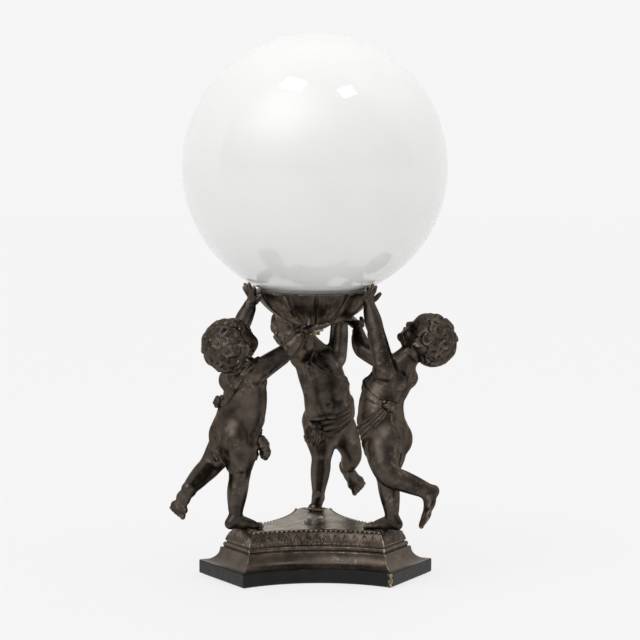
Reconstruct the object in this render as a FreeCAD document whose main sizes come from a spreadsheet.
"""Table lamp: an opal glass ball in a lobed bowl, held up by three cast putti on a three-sided base.

Frame: millimetres, +Z up, origin at the middle of the felt under the base, front of the lamp to -Y.
A figure is modelled in its own frame, where +X runs outward from the lamp's axis through its corner
of the base and +Y is the figure's right-hand side, and is then turned about the lamp's axis to its place.
"""
import FreeCAD, Part
import os
from math import sin, cos, pi, radians, sqrt

from FreeCAD import Vector, Placement, Rotation

doc = FreeCAD.newDocument("figural_lamp")
sheet = doc.addObject("Spreadsheet::Sheet", "Sheet")

# ---------------------------------------------------------------- driving dimensions
SIZES = {
    # base: three long hollow sides and three cut corners
    "long_side": 138.0, "corner_side": 85.4, "side_sagitta": 24.0,
    "felt_thick": 1.2, "felt_inset": 3.0, "plinth_top": 13.8,
    "cove_top": 26.6, "cove_inset": 14.3, "step_base": 27.4, "step_inset": 16.8,
    "step_top": 32.6, "band_base": 33.4, "band_inset": 19.2, "base_top": 46.8, "top_inset": 28.2,
    "base_wall": 4.0, "recess_radius": 17.0, "recess_depth": 8.6,
    # corner shells
    "shell_ribs": 9, "shell_rib_radius": 2.0, "shell_reach": 17.0, "shell_lift": 6.0,
    "pad_out": 72.0, "pad_radius": 7.0, "pad_height": 1.4,
    # centre bolt
    "rod_radius": 3.0, "rod_hole_radius": 3.3, "rod_foot": 4.0, "rod_head": 51.0,
    "boss_radius": 10.5, "boss_flange": 2.0, "dome_radius": 8.0, "dome_height": 6.4,
    "nut_across": 10.0, "nut_height": 4.6, "washer_radius": 7.5, "washer_thick": 1.2,
    # figure screws
    "foot_screw_out": 61.5, "foot_screw_radius": 1.9, "foot_hole_radius": 2.1,
    "foot_screw_length": 11.0, "foot_screw_head": 3.6, "foot_head_height": 2.6,
    # figures: turn of each about the lamp's axis, and the rear one's lean to its left
    "left_turn": 210.0, "right_turn": 330.0, "rear_turn": 90.0, "rear_lean": 3.0,
    "strap_radius": 2.4,
    # bowl and globe
    "globe_radius": 127.0, "globe_centre": 389.5, "glass_thick": 3.0,
    "neck_radius": 50.8, "neck_foot": 265.0,
    "rim_height": 272.4, "bowl_radius": 67.8, "bowl_foot": 236.8, "bowl_wall": 4.0, "screw_level": 269.0,
    "shelf_thick": 2.6, "shelf_inner": 46.0, "seat_radius": 52.4,
    "bowl_lobes": 12, "groove_radius": 1.3,
    # lamp holder
    "nipple_radius": 4.8, "nipple_bore": 3.4, "nipple_foot": 229.0, "nipple_top": 252.5,
    "jam_nut_across": 14.0, "jam_nut_height": 3.2, "jam_washer_radius": 11.0, "jam_washer_thick": 1.2,
    "cap_foot": 244.6, "cap_height": 12.0, "cap_radius": 17.4, "holder_wall": 0.8,
    "holder_shell_height": 36.0, "holder_radius": 19.0, "liner_thick": 0.7, "holder_gap": 0.15,
    "body_radius": 16.4, "body_foot": 259.0, "body_height": 14.0,
    "screw_shell_inner": 13.4, "screw_shell_wall": 0.4, "screw_shell_height": 18.0,
    "contact_width": 5.0, "contact_thick": 0.6, "terminal_radius": 1.9, "terminal_length": 5.0,
    # bulb
    "bulb_cap_radius": 13.0, "bulb_cap_foot": 276.0, "bulb_cap_height": 22.0, "bulb_cap_wall": 0.4,
    "bulb_insulator_foot": 274.6, "bulb_tip_radius": 4.0,
    "bulb_radius": 30.0, "bulb_centre": 352.0, "bulb_glass": 0.9, "bulb_neck_radius": 12.4,
    "stem_radius": 4.0, "stem_top": 326.0,
    # lead
    "lead_out": 70.5, "lead_radius": 2.2, "lead_bore": 2.8,
    "bush_radius": 5.0, "bush_length": 10.0, "bush_height": 7.6,
}

SIDES = ("left", "right", "rear")

# Places in a figure: how far out from the lamp's axis, how far to the figure's right, and how high.
PLACES = {
    "crotch": (81.0, -11.0, 119.0), "hips": (81.5, -11.5, 136.0), "belly": (75.5, -9.0, 155.0),
    "waist": (74.5, -6.0, 168.0), "chest": (78.0, 1.0, 186.0), "collar": (85.5, 7.0, 200.0),
    "neck": (93.0, 14.0, 211.0), "head": (107.0, 26.5, 226.7),
    "right_hip": (81.0, -6.0, 127.0), "right_knee": (80.7, -5.6, 97.0), "right_calf": (83.0, -5.5, 84.0),
    "right_ankle": (85.5, -4.7, 62.0), "right_heel": (90.0, -5.0, 55.5), "right_toe": (57.5, 1.0, 50.0),
    "left_hip": (84.0, -24.0, 129.0), "left_knee": (94.0, -36.0, 106.0), "left_calf": (108.0, -27.5, 99.5),
    "left_ankle": (128.0, -15.5, 90.0), "left_heel": (134.0, -13.0, 90.5), "left_toe": (133.0, -33.0, 65.0),
    "bent_calf": (106.0, -36.0, 96.0), "bent_ankle": (121.0, -34.5, 84.0),
    "bent_heel": (127.0, -33.0, 84.0), "bent_toe": (127.0, -47.0, 63.0),
    "left_shoulder": (84.0, -16.0, 203.0), "left_elbow": (73.0, -16.0, 238.0),
    "left_wrist": (64.0, -11.5, 260.0), "left_palm": (63.2, -9.5, 268.5),
    "right_shoulder": (76.0, 20.0, 199.0), "right_elbow": (43.0, 17.0, 215.0),
    "right_wrist": (33.0, 26.0, 230.0), "right_palm": (27.0, 32.5, 240.5),
    "knot": (90.5, -26.0, 173.0), "bunch": (61.0, 10.0, 134.0), "tail_end": (103.5, -13.0, 129.0),
    "shoulder_top": (82.0, 23.5, 205.0),
}


def fill_sheet():
    """Write every driving dimension into the sheet, one row each, with its name as the alias."""
    rows = dict(SIZES)
    for place, values in PLACES.items():
        for part, value in zip(("out", "side", "up"), values):
            rows[f"{place}_{part}"] = value
    for row, (alias, value) in enumerate(rows.items(), start=1):
        sheet.set(f"A{row}", alias)
        sheet.set(f"B{row}", str(value))
        sheet.setAlias(f"B{row}", alias)
    doc.recompute()


fill_sheet()


def size(alias):
    """A driving dimension, read from the sheet."""
    return float(getattr(sheet, alias))


def place(name):
    """A place in a figure, read from the sheet."""
    return Vector(size(name + "_out"), size(name + "_side"), size(name + "_up"))


FINISHED = []


def finish(obj, node):
    """Name an object as a sub-part that is written out."""
    obj.Label = node
    FINISHED.append(obj)
    return obj


def primitive(kind, name, **bound):
    """A Part primitive whose properties are bound to expressions on the sheet."""
    obj = doc.addObject(kind, name)
    for prop, expression in bound.items():
        obj.setExpression(prop.replace("__", "."), expression)
    return obj


def rod(name, radius, height, foot):
    """An upright cylinder on the lamp's axis."""
    return primitive("Part::Cylinder", name, Radius=radius, Height=height, Placement__Base__z=foot)


def boolean(kind, name, base, tools):
    """Base cut, fused or crossed with the tools."""
    if kind == "Part::MultiFuse":
        obj = doc.addObject(kind, name)
        obj.Shapes = [base] + tools
        return obj
    for number, tool in enumerate(tools):
        obj = doc.addObject(kind, name if number == len(tools) - 1 else f"{name}_{number}")
        obj.Base = base
        obj.Tool = tool
        base = obj
    return base


def cut(name, base, *tools):
    return boolean("Part::Cut", name, base, list(tools))


def fuse(name, base, *tools):
    return boolean("Part::MultiFuse", name, base, list(tools))


def feature(name, shape, placement=None):
    """A free-form solid made by a function, put in its place after its shape is set."""
    obj = doc.addObject("Part::Feature", name)
    obj.Shape = shape
    if placement is not None:
        obj.Placement = placement
    return obj


def revolve(points):
    """A solid turned about the lamp's axis from a closed outline of (radius, height) points."""
    outline = [Vector(radius, 0, height) for radius, height in points]
    face = Part.Face(Part.makePolygon(outline + outline[:1]))
    return face.revolve(Vector(0, 0, 0), Vector(0, 0, 1), 360)


def hexagon(across, height, centre=Vector(0, 0, 0)):
    """A hexagonal nut blank standing on its centre point."""
    reach = across / sqrt(3)
    corners = [centre + Vector(reach * cos(k * pi / 3), reach * sin(k * pi / 3), 0) for k in range(7)]
    return Part.Face(Part.makePolygon(corners)).extrude(Vector(0, 0, height))


# ---------------------------------------------------------------- base
def base_corners(inset):
    """The base's six corners at an inset from its edge, and how deep its long sides then curve in."""
    triangle = size("long_side") + 2 * size("corner_side")
    long_distance = triangle * sqrt(3) / 6
    corner_distance = triangle / sqrt(3) - size("corner_side") * sqrt(3) / 2
    half, sagitta = size("long_side") / 2, size("side_sagitta")
    arc_radius = (half ** 2 + sagitta ** 2) / (2 * sagitta)
    arc_centre = long_distance - sagitta + arc_radius
    grown = arc_radius + inset
    # The cut corner's line, turned into the frame of the long side that faces -Y.
    nearer = corner_distance - inset
    angle = radians(-30)
    normal = (cos(angle), sin(angle))
    # Point on the arc about (0, -arc_centre) that also lies on the line normal . p = nearer.
    offset = nearer + arc_centre * normal[1]
    along = sqrt(grown ** 2 - offset ** 2)
    x = normal[0] * offset + normal[1] * -along
    y = -arc_centre + normal[1] * offset + normal[0] * along
    return x, y, arc_centre, grown


def base_wire(inset, height):
    """The base's outline at an inset and a height: three arcs and three straight cut corners."""
    x, y, arc_centre, grown = base_corners(inset)
    edges, corners = [], []
    for turn in (0, 120, 240):
        spin = Rotation(Vector(0, 0, 1), turn)
        start = spin.multVec(Vector(-x, y, 0)) + Vector(0, 0, height)
        middle = spin.multVec(Vector(0, grown - arc_centre, 0)) + Vector(0, 0, height)
        end = spin.multVec(Vector(x, y, 0)) + Vector(0, 0, height)
        corners.append((start, middle, end))
    for number, (start, middle, end) in enumerate(corners):
        edges.append(Part.Arc(start, middle, end).toShape())
        edges.append(Part.makeLine(end, corners[(number + 1) % 3][0]))
    return Part.Wire(edges)


def base_loft(levels):
    """A ruled solid through the base's outline at several (inset, height) levels."""
    wires = [base_wire(inset, height) for inset, height in levels]
    solids = [Part.makeLoft([low, high], True, True) for low, high in zip(wires, wires[1:])]
    return solids[0].multiFuse(solids[1:]).removeSplitter() if len(solids) > 1 else solids[0]


def cove_levels(shift=0.0):
    """The hollow curve that climbs from the plinth to the small step."""
    low, high, inset = size("plinth_top"), size("cove_top"), size("cove_inset")
    steps = 5
    levels = []
    for step in range(steps + 1):
        angle = pi / 2 * step / steps
        levels.append((shift + inset * sin(angle), low + (high - low) * (1 - cos(angle))))
    return levels


def base_profile():
    """The cast base's outside, from the plinth to the flat top."""
    levels = cove_levels()
    levels += [(size("step_inset"), size("step_base")), (size("step_inset") + 0.6, size("step_top"))]
    levels += [(size("band_inset"), size("band_base"))]
    rise, run = size("base_top") - size("band_base"), size("top_inset") - size("band_inset")
    for angle in (30, 60, 90):
        swell = radians(angle)
        levels.append((size("band_inset") + run * (1 - cos(swell)), size("band_base") + rise * sin(swell)))
    return levels


def taper(start, end, low, high):
    """A cone between two points, with a ball on its end."""
    way = end - start
    cone = Part.makeCone(low, high, way.Length, start, way)
    return cone.fuse(Part.makeSphere(high, end))


def turned(shape, angle):
    """A shape turned about the lamp's axis, in degrees."""
    return shape.rotated(Vector(0, 0, 0), Vector(0, 0, 1), angle)


def corner_distance():
    """How far each cut corner's face is from the lamp's axis."""
    return (size("long_side") + 2 * size("corner_side")) / sqrt(3) - size("corner_side") * sqrt(3) / 2


def shell_ornament():
    """A fan of ribs that spreads down a cut corner from a small pad under the figure's foot."""
    head = Vector(corner_distance() - size("top_inset") - 3.0, 0, size("base_top") - 1.6)
    foot = Vector(corner_distance() - size("band_inset") - 0.6, 0, size("band_base") + 2.2)
    count = int(size("shell_ribs"))
    ribs = []
    for number in range(count):
        share = 2 * number / (count - 1) - 1
        lift = size("shell_lift") * share ** 2
        tip = Vector(foot.x - 0.6 * lift, size("shell_reach") * share, foot.z + lift)
        start = head + Vector(0, 0.3 * size("shell_reach") * share, 0)
        ribs.append(taper(start, tip, 1.2, size("shell_rib_radius")))
    pad = Part.makeCylinder(size("pad_radius"), size("pad_height") + 3.0,
                            Vector(size("pad_out"), 0, size("base_top") - 3.0))
    return pad.multiFuse(ribs)


def make_base():
    """Felt, plinth, hollow cast base with its corner shells, and the bolt that clamps them together."""
    felt = base_loft([(size("felt_inset"), 0.0), (size("felt_inset"), size("felt_thick"))])
    finish(feature("FeltPad", felt), "felt_pad")

    plinth = feature("PlinthBlock", base_loft([(0.0, size("felt_thick")), (0.0, size("plinth_top"))]))
    recess = rod("NutRecess", "Sheet.recess_radius", "Sheet.recess_depth", "Sheet.felt_thick")
    hole = rod("PlinthHole", "Sheet.rod_hole_radius", "Sheet.plinth_top", "0")
    bush_hole = bush_cylinder("PlinthBushHole", size("bush_radius"))
    channel = feature("PlinthChannel", lead_solid(size("lead_bore")))
    finish(cut("Plinth", plinth, recess, hole, bush_hole, channel), "plinth")

    ornament = shell_ornament()
    turns = [size(side + "_turn") for side in SIDES]
    solid = base_loft(base_profile()).multiFuse([turned(ornament, angle) for angle in turns])
    low, step = size("plinth_top"), size("step_inset") + size("base_wall")
    hollow = base_loft([(step, low - 1.0), (step, size("step_base")),
                        (size("band_inset") + size("base_wall") + 1.0, size("band_base") + 3.0),
                        (size("top_inset") + 2.0, size("base_top") - size("base_wall"))])
    holes = [Part.makeCylinder(size("rod_hole_radius"), 20, Vector(0, 0, size("base_top") - 10))]
    for angle in turns:
        spot = Vector(size("foot_screw_out"), 0, size("base_top") - 10)
        holes.append(turned(Part.makeCylinder(size("foot_hole_radius"), 14, spot), angle))
    holes.append(lead_solid(size("lead_bore")))
    finish(feature("BaseCasting", solid.cut(hollow).cut(holes[0].multiFuse(holes[1:]))), "base_casting")

    tie_rod = rod("TieRod", "Sheet.rod_radius", "Sheet.rod_head - Sheet.rod_foot", "Sheet.rod_foot")
    finish(tie_rod, "tie_rod")
    boss = revolve([(size("rod_radius"), size("base_top")), (size("boss_radius"), size("base_top")),
                    (size("boss_radius"), size("base_top") + size("boss_flange")),
                    (size("dome_radius"), size("base_top") + size("boss_flange")),
                    (size("dome_radius"), size("base_top") + size("dome_height") - 1.6),
                    (size("dome_radius") - 1.6, size("base_top") + size("dome_height")),
                    (0, size("base_top") + size("dome_height")), (0, size("rod_head")),
                    (size("rod_radius"), size("rod_head"))])
    finish(feature("CentreBoss", boss), "centre_cap_nut")
    roof = size("felt_thick") + size("recess_depth")
    ring = Part.makeCylinder(size("washer_radius"), size("washer_thick"),
                             Vector(0, 0, roof - size("washer_thick")))
    bore = Part.makeCylinder(size("rod_radius"), 40, Vector(0, 0, -5))
    finish(feature("TieWasher", ring.cut(bore)), "tie_washer")
    nut_foot = roof - size("washer_thick") - size("nut_height")
    nut = hexagon(size("nut_across"), size("nut_height"), Vector(0, 0, nut_foot)).cut(bore)
    finish(feature("TieNut", nut), "tie_nut")

    screws, washers = [], []
    ceiling = size("base_top") - size("base_wall")
    for angle in turns:
        spot = Vector(size("foot_screw_out"), 0, ceiling - size("washer_thick"))
        shank = Part.makeCylinder(size("foot_screw_radius"), size("foot_screw_length"), spot)
        head = Part.makeCylinder(size("foot_screw_head"), size("foot_head_height"),
                                 spot - Vector(0, 0, size("foot_head_height")))
        screws.append(turned(shank.fuse(head), angle))
        washer = Part.makeCylinder(size("foot_screw_head") + 1.6, size("washer_thick"), spot)
        washers.append(turned(washer.cut(shank), angle))
    finish(feature("FootScrews", Part.makeCompound(screws)), "foot_screws")
    finish(feature("FootWashers", Part.makeCompound(washers)), "foot_washers")


def bush_cylinder(name, radius):
    """A cylinder that runs out through the middle of the plinth's rear corner."""
    tube = doc.addObject("Part::Cylinder", name)
    tube.setExpression("Height", "Sheet.bush_length + 20")
    tube.Radius = radius
    start = corner_distance() - size("bush_length")
    tube.Placement = Placement(Vector(0, start, size("bush_height")), Rotation(Vector(1, 0, 0), -90))
    return tube


# ---------------------------------------------------------------- figures
def section(centre, way, across, half_across, half_deep):
    """A closed oval wire at a place in a limb, at right angles to the limb's way."""
    along = Vector(way).normalize()
    side = (across - along * across.dot(along)).normalize()
    deep = along.cross(side)
    if half_across < half_deep:
        side, deep = deep, side * -1
        half_across, half_deep = half_deep, half_across
    axes = Placement(FreeCAD.Matrix(side.x, deep.x, along.x, centre.x, side.y, deep.y, along.y, centre.y,
                                    side.z, deep.z, along.z, centre.z, 0, 0, 0, 1))
    origin, up = Vector(0, 0, 0), Vector(0, 0, 1)
    if half_across - half_deep < 0.01:
        oval = Part.Wire(Part.Circle(origin, up, half_across).toShape())
    else:
        oval = Part.Wire(Part.Ellipse(origin, half_across, half_deep).toShape())
    oval.Placement = axes
    return oval


def limb(stations, across=Vector(0, 1, 0)):
    """A smooth solid through ovals: stations are (centre, half width, half depth), ends rounded."""
    centres = [centre for centre, _, _ in stations]
    ways = [centres[1] - centres[0]]
    ways += [after - before for before, after in zip(centres, centres[2:])]
    ways.append(centres[-1] - centres[-2])
    first, last = Vector(ways[0]).normalize(), Vector(ways[-1]).normalize()
    wires = []
    for reach, share in ((0.93, 0.30), (0.66, 0.74)):
        centre, wide, deep = stations[0]
        wires.append(section(centre - first * (reach * deep), ways[0], across, wide * share, deep * share))
    for (centre, wide, deep), way in zip(stations, ways):
        wires.append(section(centre, way, across, wide, deep))
    for reach, share in ((0.66, 0.74), (0.93, 0.30)):
        centre, wide, deep = stations[-1]
        wires.append(section(centre + last * (reach * deep), ways[-1], across, wide * share, deep * share))
    return Part.makeLoft(wires, True, False)


def round_limb(*stations):
    """A limb with circular sections, given as (place name or point, radius)."""
    spots = [(place(spot) if isinstance(spot, str) else spot, radius, radius) for spot, radius in stations]
    return limb(spots, Vector(0.3, 1, 0.2))


def torso():
    """Pelvis, belly, chest and neck as one solid."""
    return limb([(place("crotch"), 15.0, 12.0), (place("hips"), 24.0, 20.0), (place("belly"), 24.5, 21.5),
                 (place("waist"), 23.5, 21.0), (place("chest"), 23.0, 19.5), (place("collar"), 18.5, 16.0),
                 (place("neck"), 11.5, 11.0)])


def foot(heel, toe):
    """A child's foot: a rounded heel, an arched middle and a fan of toes with a flat sole."""
    way = toe - heel
    middle = heel + way * 0.5
    across = Vector(0, 1, 0)
    return limb([(heel, 5.6, 5.4), (middle, 6.6, 5.2), (heel + way * 0.82, 8.0, 3.6)], across)


def standing_leg():
    """Thigh, calf and foot that carry the figure."""
    leg = round_limb(("right_hip", 15.5), ((place("right_hip") + place("right_knee")) * 0.5, 13.0),
                     ("right_knee", 10.2), ("right_calf", 10.0), ("right_ankle", 7.0))
    middle = (place("right_heel") + place("right_toe")) * 0.5
    instep = round_limb((place("right_ankle") + Vector(-1, 0, 2), 6.2), (middle + Vector(2, 0, 3), 5.0))
    return leg.multiFuse([foot(place("right_heel"), place("right_toe")), instep])


def trailing_leg(calf, ankle, heel, toe):
    """The other leg, kicked back from the knee."""
    leg = round_limb(("left_hip", 15.0), ((place("left_hip") + place("left_knee")) * 0.5, 13.2),
                     ("left_knee", 10.6), (calf, 9.6), (ankle, 6.4))
    return leg.fuse(foot(place(heel), place(toe)))


def hand(wrist, palm, outward, fingertip):
    """A palm with four fingers and a thumb spread over what it holds."""
    way = fingertip.normalize()
    side = way.cross(outward).normalize()
    parts = [limb([(place(wrist), 5.6, 5.0), (place(palm), 6.6, 4.2)], side)]
    for number, spread in enumerate((-1.0, -0.35, 0.35, 1.0)):
        root = place(palm) + way * 2.0 + side * (4.8 * spread)
        tip = root + way * (9.0 - 1.6 * abs(spread)) + side * (3.0 * spread)
        parts.append(taper(root, tip, 2.1, 1.6))
    thumb = place(palm) - way * 2.0 + side * 5.0
    parts.append(taper(thumb, thumb + side * 5.5 + way * 3.0, 2.3, 1.8))
    return parts[0].multiFuse(parts[1:])


def raised_arm():
    """The left arm, from the shoulder up to the hand that steadies the bowl's rim."""
    arm = round_limb(("left_shoulder", 10.2), ((place("left_shoulder") + place("left_elbow")) * 0.5, 9.2),
                     ("left_elbow", 8.2), ((place("left_elbow") + place("left_wrist")) * 0.5, 7.6),
                     ("left_wrist", 6.0))
    return arm.fuse(hand("left_wrist", "left_palm", Vector(1, 0, -0.4), Vector(0.35, 0.1, 1)))


def reaching_arm():
    """The right arm, from the shoulder to the hand under the bowl."""
    arm = round_limb(("right_shoulder", 10.5), ((place("right_shoulder") + place("right_elbow")) * 0.5, 9.6),
                     ("right_elbow", 8.8), ("right_wrist", 6.4))
    return arm.fuse(hand("right_wrist", "right_palm", Vector(0.3, 0.3, -1), Vector(-0.6, 0.6, 0.1)))


def head():
    """A head thrown back: skull, jaw, nose, ears and a crop of short curls, all of simple rounds."""
    centre = place("head")
    gaze = Vector(-0.64, -0.05, 0.77).normalize()
    crown = Vector(0.74, 0.22, 0.64)
    crown = (crown - gaze * crown.dot(gaze)).normalize()
    right = gaze.cross(crown)

    def ball(forward, up, side, radius):
        return Part.makeSphere(radius, centre + gaze * forward + crown * up + right * side)

    rounds = [ball(6, -9, 0, 16.5), ball(13, -16, 0, 8.5)]
    rounds += [ball(14, -8, 8.0 * side, 9.0) for side in (-1, 1)]
    rounds += [ball(-1, -5, 20.5 * side, 4.2) for side in (-1, 1)]
    nose_top = centre + gaze * 21 - crown * 1
    rounds.append(Part.makeCone(1.2, 3.0, 7.0, nose_top, gaze * 0.35 - crown))
    for tilt, count, shift in ((8, 1, 0), (48, 6, 0.5), (84, 9, 0)):
        for number in range(count):
            turn = 2 * pi * (number + shift) / count
            level = radians(tilt)
            forward, side = cos(turn) * sin(level), sin(turn) * sin(level)
            if forward < 0.62:
                rounds.append(ball(18.5 * forward - 2, 17.5 * cos(level) + 2, 17.0 * side, 7.4))
    return ball(-1, 1, 0, 22.0).multiFuse(rounds)


def sash():
    """A twisted band over the right shoulder, knotted on the left flank, with a swag and a tail."""
    knot, shoulder, thick = place("knot"), place("shoulder_top"), size("strap_radius")
    front = [knot, Vector(72, -22, 178), Vector(58.5, -8, 187), Vector(59, 8, 196), shoulder]
    back = [knot, Vector(99, -14, 180), Vector(103, 2, 190), Vector(99, 16, 200), shoulder]
    straps = [limb([(spot, thick + swell, thick + swell) for spot in spots], Vector(0, 0, 1))
              for spots, swell in ((front, 0.0), (back, 0.4))]
    swag = limb([(knot, 3.6, 3.6), (Vector(76, -35.5, 163), 4.2, 4.2), (Vector(60, -27, 151), 4.4, 4.4),
                 (Vector(55.5, -10, 142), 5.0, 5.0), (place("bunch"), 6.4, 6.4)], Vector(0, 0, 1))
    tail = limb([(knot, 3.2, 3.2), (Vector(101, -22, 156), 3.4, 3.4), (Vector(104, -16, 142), 4.2, 4.2),
                 (place("tail_end"), 5.4, 5.4)], Vector(0, 1, 0))
    return Part.makeSphere(5.4, knot).multiFuse(straps + [swag, tail])


def figure_place(side):
    """A figure's placement: turned to its corner, the rear one leaning about its foot."""
    turn = Placement(Vector(0, 0, 0), Rotation(Vector(0, 0, 1), size(side + "_turn")))
    lean = size("rear_lean") if side == "rear" else 0.0
    tilt = Placement(Vector(0, 0, 0), Rotation(Vector(1, 0, 0), lean), place("right_toe"))
    return turn.multiply(tilt)


def seen_from(side, shape):
    """A shape in the lamp's frame, brought into the frame of one figure."""
    copy = shape.copy()
    copy.Placement = figure_place(side).inverse()
    return copy


def what_a_figure_meets(side):
    """What a figure's sections are cut back from: the base's top and screw below, the bowl and screws above."""
    ball = Part.makeSphere(size("bowl_radius"), Vector(0, 0, size("bowl_foot") + size("bowl_radius")))
    bowl = ball.common(Part.makeBox(140, 140, 60, Vector(-70, -70, size("rim_height") - 60)))
    ground = Part.makeCylinder(130, 20, Vector(0, 0, size("base_top") + size("pad_height") - 20))
    spot = Vector(size("foot_screw_out"), 0, size("base_top") - size("base_wall"))
    shank = Part.makeCylinder(size("foot_screw_radius"), size("foot_screw_length") - size("washer_thick"), spot)
    foot_screw = turned(shank, size(side + "_turn"))
    below = [seen_from(side, ground.fuse(foot_screw))]
    above = [seen_from(side, bowl.fuse(palm_screw(side)))]
    if side != "rear":
        above.append(seen_from(side, hand_screw(side)))
    return below, above


def make_figures():
    """Three castings from one set of moulds, each of six fitted sections."""
    body = torso().fuse(standing_leg())
    bare_head = head().cut(body)
    arms = {"raised_arm": raised_arm().cut(body), "reaching_arm": reaching_arm().cut(body)}
    arms = {name: biggest(arm.cut(bare_head)) for name, arm in arms.items()}
    straight = trailing_leg(place("left_calf"), "left_ankle", "left_heel", "left_toe").cut(body)
    bent = trailing_leg(place("bent_calf"), "bent_ankle", "bent_heel", "bent_toe").cut(body)
    band = sash().cut(body)
    for other in (straight, bare_head, arms["raised_arm"], arms["reaching_arm"]):
        band = band.cut(other)
    for side in SIDES:
        below, above = what_a_figure_meets(side)
        sections = {"body": body.cut(below), "head": bare_head, "trailing_leg": straight, "sash": band}
        for name, arm in arms.items():
            sections[name] = arm.cut(above)
        if side == "rear":
            channel = seen_from(side, lead_solid(size("lead_bore")))
            sections["trailing_leg"] = bent
            sections["body"] = sections["body"].cut(channel)
            sections["reaching_arm"] = sections["reaching_arm"].cut(channel)
        for name, shape in sections.items():
            node = f"{side}_{name}"
            finish(feature(node.title().replace("_", ""), biggest(shape), figure_place(side)), node)


def biggest(shape):
    """The largest solid of a cut, which drops the slivers beside it."""
    return max(shape.Solids, key=lambda solid: solid.Volume)


# ---------------------------------------------------------------- lead
def lead_route():
    """The lead's way from the plinth's rear face, up through the rear figure, to the lamp holder."""
    turn = Placement(Vector(0, 0, 0), Rotation(Vector(0, 0, 1), size("rear_turn")))
    rear = figure_place("rear")
    height = size("bush_height")
    under = [Vector(corner_distance() + 1.0, 0, height), Vector(size("lead_out") + 8, 0, height),
             Vector(size("lead_out"), -1, height + 18), Vector(size("lead_out"), -2, size("base_top") + 3)]
    inside = [place("right_ankle") + Vector(-3, 0, 3), place("right_knee"), place("hips") + Vector(-2, 2, 0),
              place("belly"), place("chest") + Vector(-2, 6, 0), Vector(60, 17, 206), place("right_elbow"),
              place("right_wrist")]
    over = [Vector(20, 19, 244), Vector(13, 11, 250), Vector(6, 4, 256)]
    return [turn.multVec(spot) for spot in under] + [rear.multVec(spot) for spot in inside] \
        + [turn.multVec(spot) for spot in over]


def bent_path(points):
    """Straight runs joined by tangent arcs, each as large as its two runs allow."""
    edges, start = [], points[0]
    for before, corner, after in zip(points, points[1:], points[2:]):
        into, out = (corner - before), (after - corner)
        angle = into.getAngle(out)
        reach = 0.45 * min(into.Length, out.Length)
        into, out = into.normalize(), out.normalize()
        first, last = corner - into * reach, corner + out * reach
        radius = reach / max(1e-6, (sin(angle / 2) / cos(angle / 2)))
        bisector = (out - into).normalize()
        middle = corner + bisector * (sqrt(radius ** 2 + reach ** 2) - radius)
        edges.append(Part.makeLine(start, first))
        edges.append(Part.Arc(first, middle, last).toShape())
        start = last
    edges.append(Part.makeLine(start, points[-1]))
    return Part.Wire(edges)


def lead_solid(radius):
    """The lead, or the channel around it, as one tube along the route."""
    route = lead_route()
    path = bent_path(route)
    ring = Part.Wire(Part.Circle(route[0], route[1] - route[0], radius).toShape())
    return path.makePipeShell([ring], True, False)


def make_lead():
    """The two-core lead inside the lamp and the bush where it enters."""
    lead = lead_solid(size("lead_radius"))
    face = corner_distance()
    trim = Part.makeBox(60, 30, 60, Vector(-30, face - 0.5, -20))
    finish(feature("Lead", biggest(lead.cut(trim))), "lead")
    outer = bush_cylinder("BushBlank", size("bush_radius"))
    bore = bush_cylinder("BushBore", size("lead_bore"))
    end = doc.addObject("Part::Box", "BushEnd")
    end.Length, end.Width, end.Height = 40, 40, 40
    end.Placement = Placement(Vector(-20, face, -15), Rotation())
    finish(cut("CordBush", outer, bore, end), "cord_bush")


# ---------------------------------------------------------------- bowl, globe and lamp holder
def make_bowl():
    """The lobed bowl with the shelf that the glass stands on, and the screws into the hands."""
    outside = primitive("Part::Sphere", "BowlOutside", Radius="Sheet.bowl_radius",
                        Placement__Base__z="Sheet.bowl_foot + Sheet.bowl_radius")
    inside = primitive("Part::Sphere", "BowlInside", Radius="Sheet.bowl_radius - Sheet.bowl_wall",
                       Placement__Base__z="Sheet.bowl_foot + Sheet.bowl_radius")
    above = primitive("Part::Cylinder", "AboveRim", Radius="Sheet.bowl_radius + 5",
                      Height="Sheet.bowl_radius * 2", Placement__Base__z="Sheet.rim_height")
    dish = cut("Dish", outside, inside, above)
    shelf_foot = "Sheet.neck_foot - Sheet.shelf_thick"
    shelf = rod("ShelfBlank", "Sheet.seat_radius + 1", "Sheet.shelf_thick", shelf_foot)
    shelf_hole = rod("ShelfHole", "Sheet.shelf_inner", "Sheet.shelf_thick + 2", shelf_foot + " - 1")
    blank = fuse("BowlBlank", dish, cut("Shelf", shelf, shelf_hole))
    seat = rod("GlassSeat", "Sheet.seat_radius", "20 mm", "Sheet.neck_foot")
    nipple_hole = rod("NippleHole", "Sheet.nipple_radius + 0.1", "20 mm", "Sheet.bowl_foot - 5")
    grooves = []
    for number in range(int(size("bowl_lobes")) // 2):
        groove = primitive("Part::Torus", f"Groove{number}", Radius1="Sheet.bowl_radius + 0.5",
                           Radius2="Sheet.groove_radius",
                           Placement__Base__z="Sheet.bowl_foot + Sheet.bowl_radius")
        turn = 360.0 / size("bowl_lobes") * number
        upright = Rotation(Vector(0, 0, 1), turn).multiply(Rotation(Vector(1, 0, 0), 90))
        groove.Placement = Placement(groove.Placement.Base, upright)
        grooves.append(groove)
    holes, palms, hands = [], [], []
    for side in SIDES:
        palms.append(palm_screw(side))
        holes.append(palm_screw(side))
        if side != "rear":
            hands.append(hand_screw(side))
            holes.append(hand_screw(side))
    drill = feature("BowlDrill", Part.makeCompound(holes + [lead_solid(size("lead_bore"))]))
    finish(cut("Bowl", blank, seat, nipple_hole, *grooves, drill), "bowl")
    finish(feature("PalmScrews", Part.makeCompound(palms)), "palm_screws")
    finish(feature("HandScrews", Part.makeCompound(hands)), "hand_screws")


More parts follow.
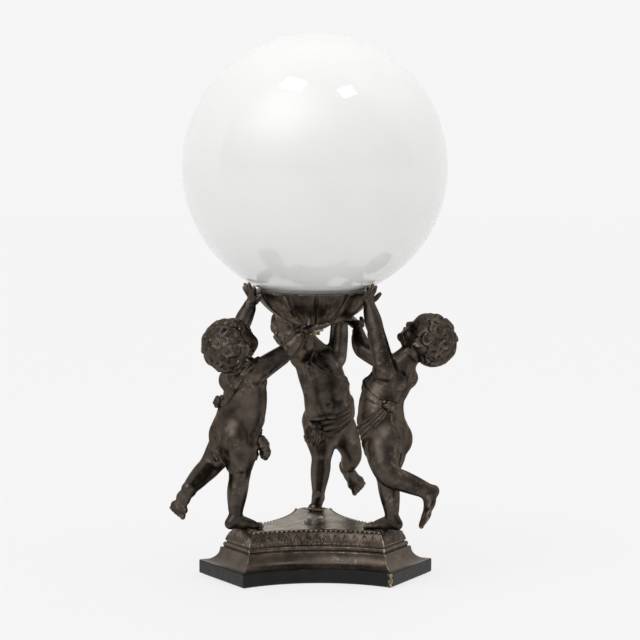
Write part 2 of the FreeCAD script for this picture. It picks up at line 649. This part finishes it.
def palm_screw(side):
    """A countersunk screw through the bowl's rim into a raised hand."""
    palm = figure_place(side).multVec(place("left_palm"))
    way = Vector(palm.x, palm.y, 0).normalize()
    start = way * (size("seat_radius") + 0.4) + Vector(0, 0, size("screw_level"))
    cone = Part.makeCone(2.2, 1.1, 1.4, start, way)
    return cone.fuse(Part.makeCylinder(1.1, 11.5, start, way))


def hand_screw(side):
    """A round-headed screw through the bowl's wall, square to it, into a reaching hand."""
    centre = Vector(0, 0, size("bowl_foot") + size("bowl_radius"))
    palm = figure_place(side).multVec(place("right_palm"))
    way = (palm - centre).normalize()
    start = centre + way * (size("bowl_radius") - size("bowl_wall"))
    shank = Part.makeCylinder(1.2, 12.0, start, way)
    return shank.fuse(Part.makeCylinder(2.6, 1.8, start - way * 1.8, way))


def make_globe():
    """The blown ball with its short open neck."""
    ball = primitive("Part::Sphere", "Ball", Radius="Sheet.globe_radius",
                     Placement__Base__z="Sheet.globe_centre")
    neck = rod("Neck", "Sheet.neck_radius",
               "Sheet.globe_centre - Sheet.globe_radius - Sheet.neck_foot + 20", "Sheet.neck_foot")
    hollow = primitive("Part::Sphere", "BallHollow", Radius="Sheet.globe_radius - Sheet.glass_thick",
                       Placement__Base__z="Sheet.globe_centre")
    mouth = rod("Mouth", "Sheet.neck_radius - Sheet.glass_thick", "40 mm", "Sheet.neck_foot - 10")
    below = rod("BelowNeck", "Sheet.globe_radius", "40 mm", "Sheet.neck_foot - 40")
    finish(cut("Globe", fuse("GlobeBlank", ball, neck), hollow, mouth, below), "globe")


def tube(name, radius, wall, height, foot):
    """An upright tube on the lamp's axis, from sheet expressions."""
    outer = rod(name + "Outer", radius, height, foot)
    inner = rod(name + "Inner", f"{radius} - {wall}", f"{height} + 2", f"{foot} - 1")
    return cut(name, outer, inner)


def make_holder():
    """The screw-shell lamp holder on its threaded tube."""
    bore = Part.makeCylinder(size("nipple_radius"), 60, Vector(0, 0, 220))
    nipple = tube("Nipple", "Sheet.nipple_radius", "(Sheet.nipple_radius - Sheet.nipple_bore)",
                  "(Sheet.nipple_top - Sheet.nipple_foot)", "Sheet.nipple_foot")
    finish(nipple, "threaded_tube")
    under = size("bowl_foot")
    washer = Part.makeCylinder(size("jam_washer_radius"), size("jam_washer_thick") + 1.0,
                               Vector(0, 0, under - size("jam_washer_thick")))
    dish = Part.makeSphere(size("bowl_radius"), Vector(0, 0, under + size("bowl_radius")))
    finish(feature("JamWasher", washer.cut(bore).cut(dish)), "jam_washer")
    nut = hexagon(size("jam_nut_across"), size("jam_nut_height"),
                  Vector(0, 0, under - size("jam_washer_thick") - size("jam_nut_height")))
    finish(feature("JamNut", nut.cut(bore)), "jam_nut")

    foot, wall, radius = size("cap_foot"), size("holder_wall"), size("cap_radius")
    top = foot + size("cap_height")
    cap = revolve([(size("nipple_radius"), foot), (8.5, foot), (radius, foot + 5), (radius, top),
                   (radius - wall, top), (radius - wall, foot + 5.4), (8.2, foot + wall),
                   (size("nipple_radius"), foot + wall)])
    finish(feature("HolderCap", cap.cut(lead_solid(size("lead_bore")))), "holder_cap")
    shell_foot = "(Sheet.cap_foot + Sheet.cap_height)"
    shell = tube("HolderShell", "Sheet.holder_radius", "Sheet.holder_wall", "Sheet.holder_shell_height",
                 shell_foot)
    finish(shell, "holder_shell")
    liner = tube("HolderLiner", "(Sheet.holder_radius - Sheet.holder_wall - Sheet.holder_gap)",
                 "Sheet.liner_thick", "(Sheet.holder_shell_height - 1)", shell_foot)
    finish(liner, "holder_liner")

    body_top = size("body_foot") + size("body_height")
    block = Part.makeCylinder(size("body_radius"), size("body_height"), Vector(0, 0, size("body_foot")))
    sides = (-1, 1)
    screws = [Part.makeCylinder(size("terminal_radius"), size("terminal_length"),
                                Vector(side * (size("body_radius") - 3.4), 0, size("body_foot") - 1.6),
                                Vector(0, 0, 1)) for side in sides]
    screws = Part.makeCompound(screws)
    finish(feature("HolderBody", block.cut(screws)), "holder_body")
    finish(feature("TerminalScrews", screws), "terminal_screws")
    inner = size("screw_shell_inner")
    threads = revolve([(inner, body_top), (inner + size("screw_shell_wall"), body_top),
                       (inner + size("screw_shell_wall"), body_top + size("screw_shell_height")),
                       (inner, body_top + size("screw_shell_height"))])
    finish(feature("ScrewShell", threads), "screw_shell")
    tongue = Part.makeBox(size("contact_width"), 9.0, size("contact_thick"),
                          Vector(-size("contact_width") / 2, -4.5, body_top))
    finish(feature("CentreContact", tongue), "centre_contact")


def make_bulb():
    """The bulb: brass-coloured cap, insulator and tip, glass envelope and the stem inside."""
    foot, height, radius = size("bulb_cap_foot"), size("bulb_cap_height"), size("bulb_cap_radius")
    wall, glass, tip = size("bulb_cap_wall"), size("bulb_glass"), size("bulb_tip_radius")
    cap = revolve([(radius - 3.0, foot), (radius, foot + 3.0), (radius, foot + height),
                   (radius - wall, foot + height), (radius - wall, foot + 3.2), (radius - 3.3, foot + wall),
                   (radius - 3.3, foot)])
    finish(feature("BulbCap", cap), "bulb_cap")
    low = size("bulb_insulator_foot")
    insulator = revolve([(tip, low), (radius - 3.3, foot), (radius - 3.3, foot + 1.6), (0, foot + 1.6),
                         (0, low + 0.7), (tip, low + 0.7)])
    finish(feature("BulbInsulator", insulator), "bulb_insulator")
    button = Part.makeCylinder(tip, 0.7 + 0.5, Vector(0, 0, low - 0.5))
    finish(feature("BulbTip", button), "bulb_tip")

    centre, ball, neck = size("bulb_centre"), size("bulb_radius"), size("bulb_neck_radius")
    base = foot + height - 6.0

    def envelope(less):
        """The bulb's outline: a ball that runs down into a straight neck by one tangent cone."""
        reach = ball - less
        wires = [Part.Wire(Part.Circle(Vector(0, 0, level), Vector(0, 0, 1), width - less).toShape())
                 for level, width in ((base, neck), (base + 12, neck), (centre - 30, 17.5), (centre - 15, 26.0))]
        shoulder = Part.makeLoft(wires, True, True)
        return shoulder.fuse(Part.makeSphere(reach, Vector(0, 0, centre)))

    shell = envelope(0.0).cut(envelope(glass)).cut(Part.makeCylinder(stem_hole(), 4, Vector(0, 0, base - 2)))
    finish(feature("BulbGlass", biggest(shell)), "bulb_glass")
    stem = Part.makeCylinder(size("stem_radius"), size("stem_top") - base, Vector(0, 0, base))
    flare = Part.makeCylinder(stem_hole(), 1.0, Vector(0, 0, base))
    posts = [taper(Vector(0, 2.0 * side, size("stem_top") - 2), Vector(0, 12.0 * side, size("stem_top") + 18),
                   0.5, 0.7) for side in (-1, 1)]
    bar = Part.makeCylinder(0.5, 24, Vector(0, -12, size("stem_top") + 18), Vector(0, 1, 0))
    finish(feature("BulbStem", stem.multiFuse([flare, bar] + posts)), "bulb_stem")


def stem_hole():
    """The open end of the bulb's glass, which the stem's flare fills."""
    return size("bulb_neck_radius") - size("bulb_glass")


# ---------------------------------------------------------------- build, check and write
make_base()
make_lead()
make_bowl()
make_figures()
make_globe()
make_holder()
make_bulb()
doc.recompute()

for obj in doc.Objects:
    faults = [state for state in obj.State if state in ("Invalid", "Error")]
    if faults:
        raise RuntimeError(f"{obj.Name} did not build: {faults}")
for obj in FINISHED:
    if obj.Shape.isNull() or not obj.Shape.isValid() or not obj.Shape.Solids:
        raise RuntimeError(f"{obj.Label} has no valid solid")

os.makedirs("parts", exist_ok=True)
for obj in FINISHED:
    obj.Shape.exportStep(f"parts/{obj.Label}.step")
    print(f"{obj.Label:22s} solids {len(obj.Shape.Solids):2d}  volume {obj.Shape.Volume / 1000:9.2f} cm3")
print(len(FINISHED), "sub-parts written")
